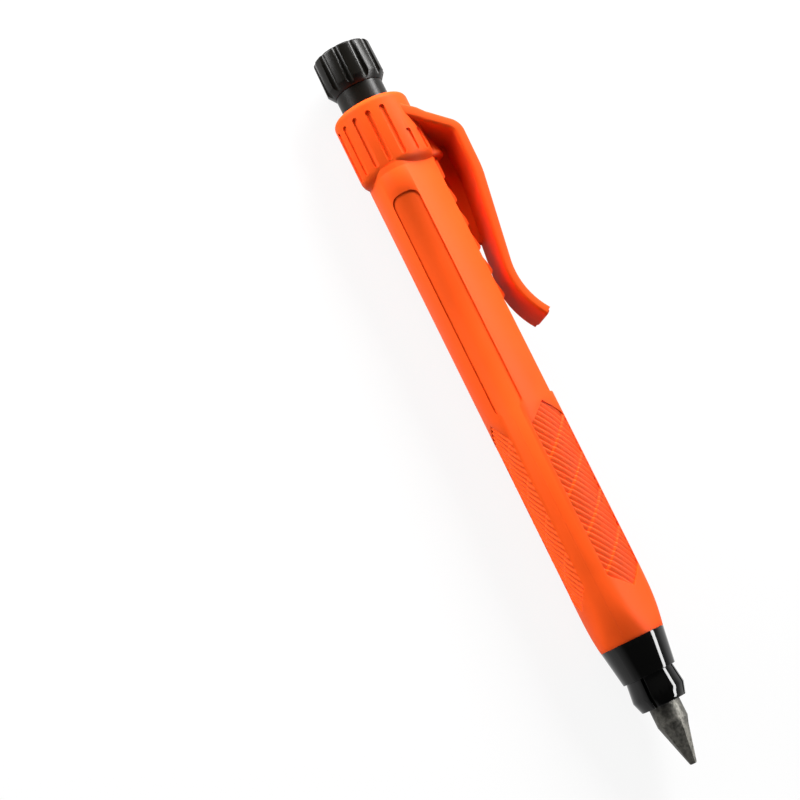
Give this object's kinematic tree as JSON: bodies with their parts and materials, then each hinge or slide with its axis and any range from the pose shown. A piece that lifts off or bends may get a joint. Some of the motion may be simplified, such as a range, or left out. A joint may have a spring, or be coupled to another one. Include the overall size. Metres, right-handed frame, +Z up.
{
  "type": "clutch lead holder",
  "caption": "Push-button clutch pencil for thick leads: triangular ribbed barrel, toothed pocket clip, fluted knob, conical nose and split jaws holding a sharpened lead.",
  "frame": {"origin": "on the pencil's axis, at the blunt end of the sharpened lead", "axes": "+X along the pencil towards the writing tip, +Y towards the pocket clip, +Z up with the pencil lying on its side"},
  "size_m": [0.1402, 0.0199, 0.0142],
  "materials": {
    "orange_plastic": "satin moulded",
    "black_plastic": "satin moulded",
    "black_metal": "polished black",
    "brass": "turned",
    "steel": "drawn",
    "black_rubber": "matte",
    "graphite": "burnished"
  },
  "bodies": {
    "barrel_body": {"barrel": "orange_plastic", "clip_collar": "orange_plastic", "rear_bush": "black_plastic", "thread_insert": "brass", "nose_cone": "black_metal", "return_spring": "steel"},
    "clutch": {"lead_tube": "steel", "plunger_sleeve": "black_plastic", "clutch_body": "brass", "spring_seat": "steel", "retaining_ring": "steel"},
    "jaw_1": {"clutch_jaw_1": "black_metal"},
    "jaw_2": {"clutch_jaw_2": "black_metal"},
    "jaw_3": {"clutch_jaw_3": "black_metal"},
    "jaw_4": {"clutch_jaw_4": "black_metal"},
    "knob": {"push_knob": "black_plastic", "pointer_cutter": "steel", "knob_o_ring": "black_rubber"},
    "clip": {"pocket_clip": "orange_plastic"},
    "lead": {"lead": "graphite"}
  },
  "joints": [
    {"name": "push", "type": "slide", "parent": "barrel_body", "child": "clutch", "axis": [1, 0, 0], "range_m": [0, 0.0038], "stiffness_N_per_m": 1000, "springref_m": -0.002, "deforming": ["return_spring"]},
    {"name": "jaw_1_open", "type": "hinge", "parent": "clutch", "child": "jaw_1", "pos_m": [-0.0311, 0.00318, -0.00032], "axis": [0, 0.0985, 0.9951], "range_deg": [0, 1.65]},
    {"name": "jaw_2_open", "type": "hinge", "parent": "clutch", "child": "jaw_2", "pos_m": [-0.0311, -0.00032, -0.00318], "axis": [0, 0.9951, -0.0985], "range_deg": [0, 1.65]},
    {"name": "jaw_3_open", "type": "hinge", "parent": "clutch", "child": "jaw_3", "pos_m": [-0.0311, -0.00318, 0.00032], "axis": [0, -0.0985, -0.9951], "range_deg": [0, 1.65]},
    {"name": "jaw_4_open", "type": "hinge", "parent": "clutch", "child": "jaw_4", "pos_m": [-0.0311, 0.00032, 0.00318], "axis": [0, -0.9951, 0.0985], "range_deg": [0, 1.65]},
    {"name": "lead_feed", "type": "slide", "parent": "clutch", "child": "lead", "axis": [1, 0, 0], "range_m": [-0.011, 0.02]},
    {"name": "knob_pull", "type": "slide", "parent": "clutch", "child": "knob", "axis": [-1, 0, 0], "range_m": [0, 0.014]},
    {"name": "clip_flex", "type": "hinge", "parent": "barrel_body", "child": "clip", "pos_m": [-0.1218, 0.0086, 0], "axis": [0, 0, 1], "range_deg": [0, 6], "stiffness_Nm_per_rad": 3.5}
  ],
  "couplings": [
    {"joint": "jaw_1_open", "follows": "push", "rad_per_m": 7.5},
    {"joint": "jaw_2_open", "follows": "push", "rad_per_m": 7.5},
    {"joint": "jaw_3_open", "follows": "push", "rad_per_m": 7.5},
    {"joint": "jaw_4_open", "follows": "push", "rad_per_m": 7.5}
  ]
}
